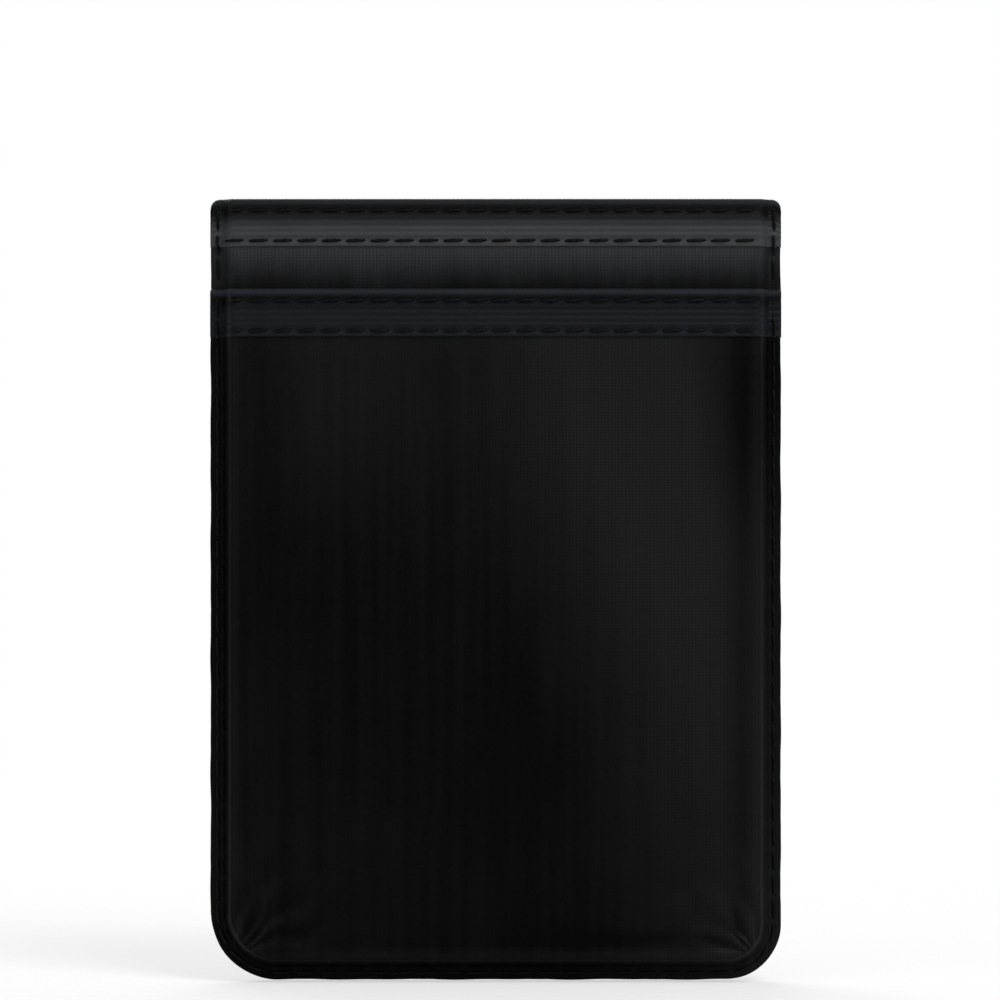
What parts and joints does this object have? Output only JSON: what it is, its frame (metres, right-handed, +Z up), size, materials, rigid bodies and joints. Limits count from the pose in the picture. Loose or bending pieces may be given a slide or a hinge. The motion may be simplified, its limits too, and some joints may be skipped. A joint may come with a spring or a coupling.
{
  "type": "stick on phone card holder",
  "caption": "Flat stick-on holder with overlapping stretch-fabric pockets, bound mouths and a sewn rounded edge, on an adhesive back.",
  "frame": {"origin": "centre of the adhesive sheet's back face, which is pressed on the surface that carries the holder", "axes": "+X across the holder to the right as seen from the front, +Y out of the adhesive back, +Z up towards the pocket mouths"},
  "size_m": [0.0588, 0.0057, 0.0804],
  "materials": {
    "adhesive": "clear tacky film over black cloth, smoky grey, glossy",
    "back_fabric": "fine black knit, matt",
    "rear_fabric": "charcoal stretch knit, satin",
    "rear_elastic": "charcoal ribbed elastic, satin",
    "front_fabric": "black stretch knit, smooth satin",
    "front_elastic": "black ribbed elastic, satin",
    "thread": "black sewing thread, slight sheen"
  },
  "bodies": {
    "root": {"adhesive_pad": "adhesive", "back_panel": "back_fabric", "rear_pocket_panel": "rear_fabric", "rear_mouth_binding": "rear_elastic", "front_pocket_panel": "front_fabric", "front_mouth_binding": "front_elastic", "rear_mouth_stitching_upper": "thread", "rear_mouth_stitching_lower": "thread", "front_mouth_stitching_upper": "thread", "front_mouth_stitching_lower": "thread", "edge_stitching": "thread", "rear_edge_stitching_left": "thread", "rear_edge_stitching_right": "thread", "edge_stitching_back": "thread"}
  },
  "joints": []
}
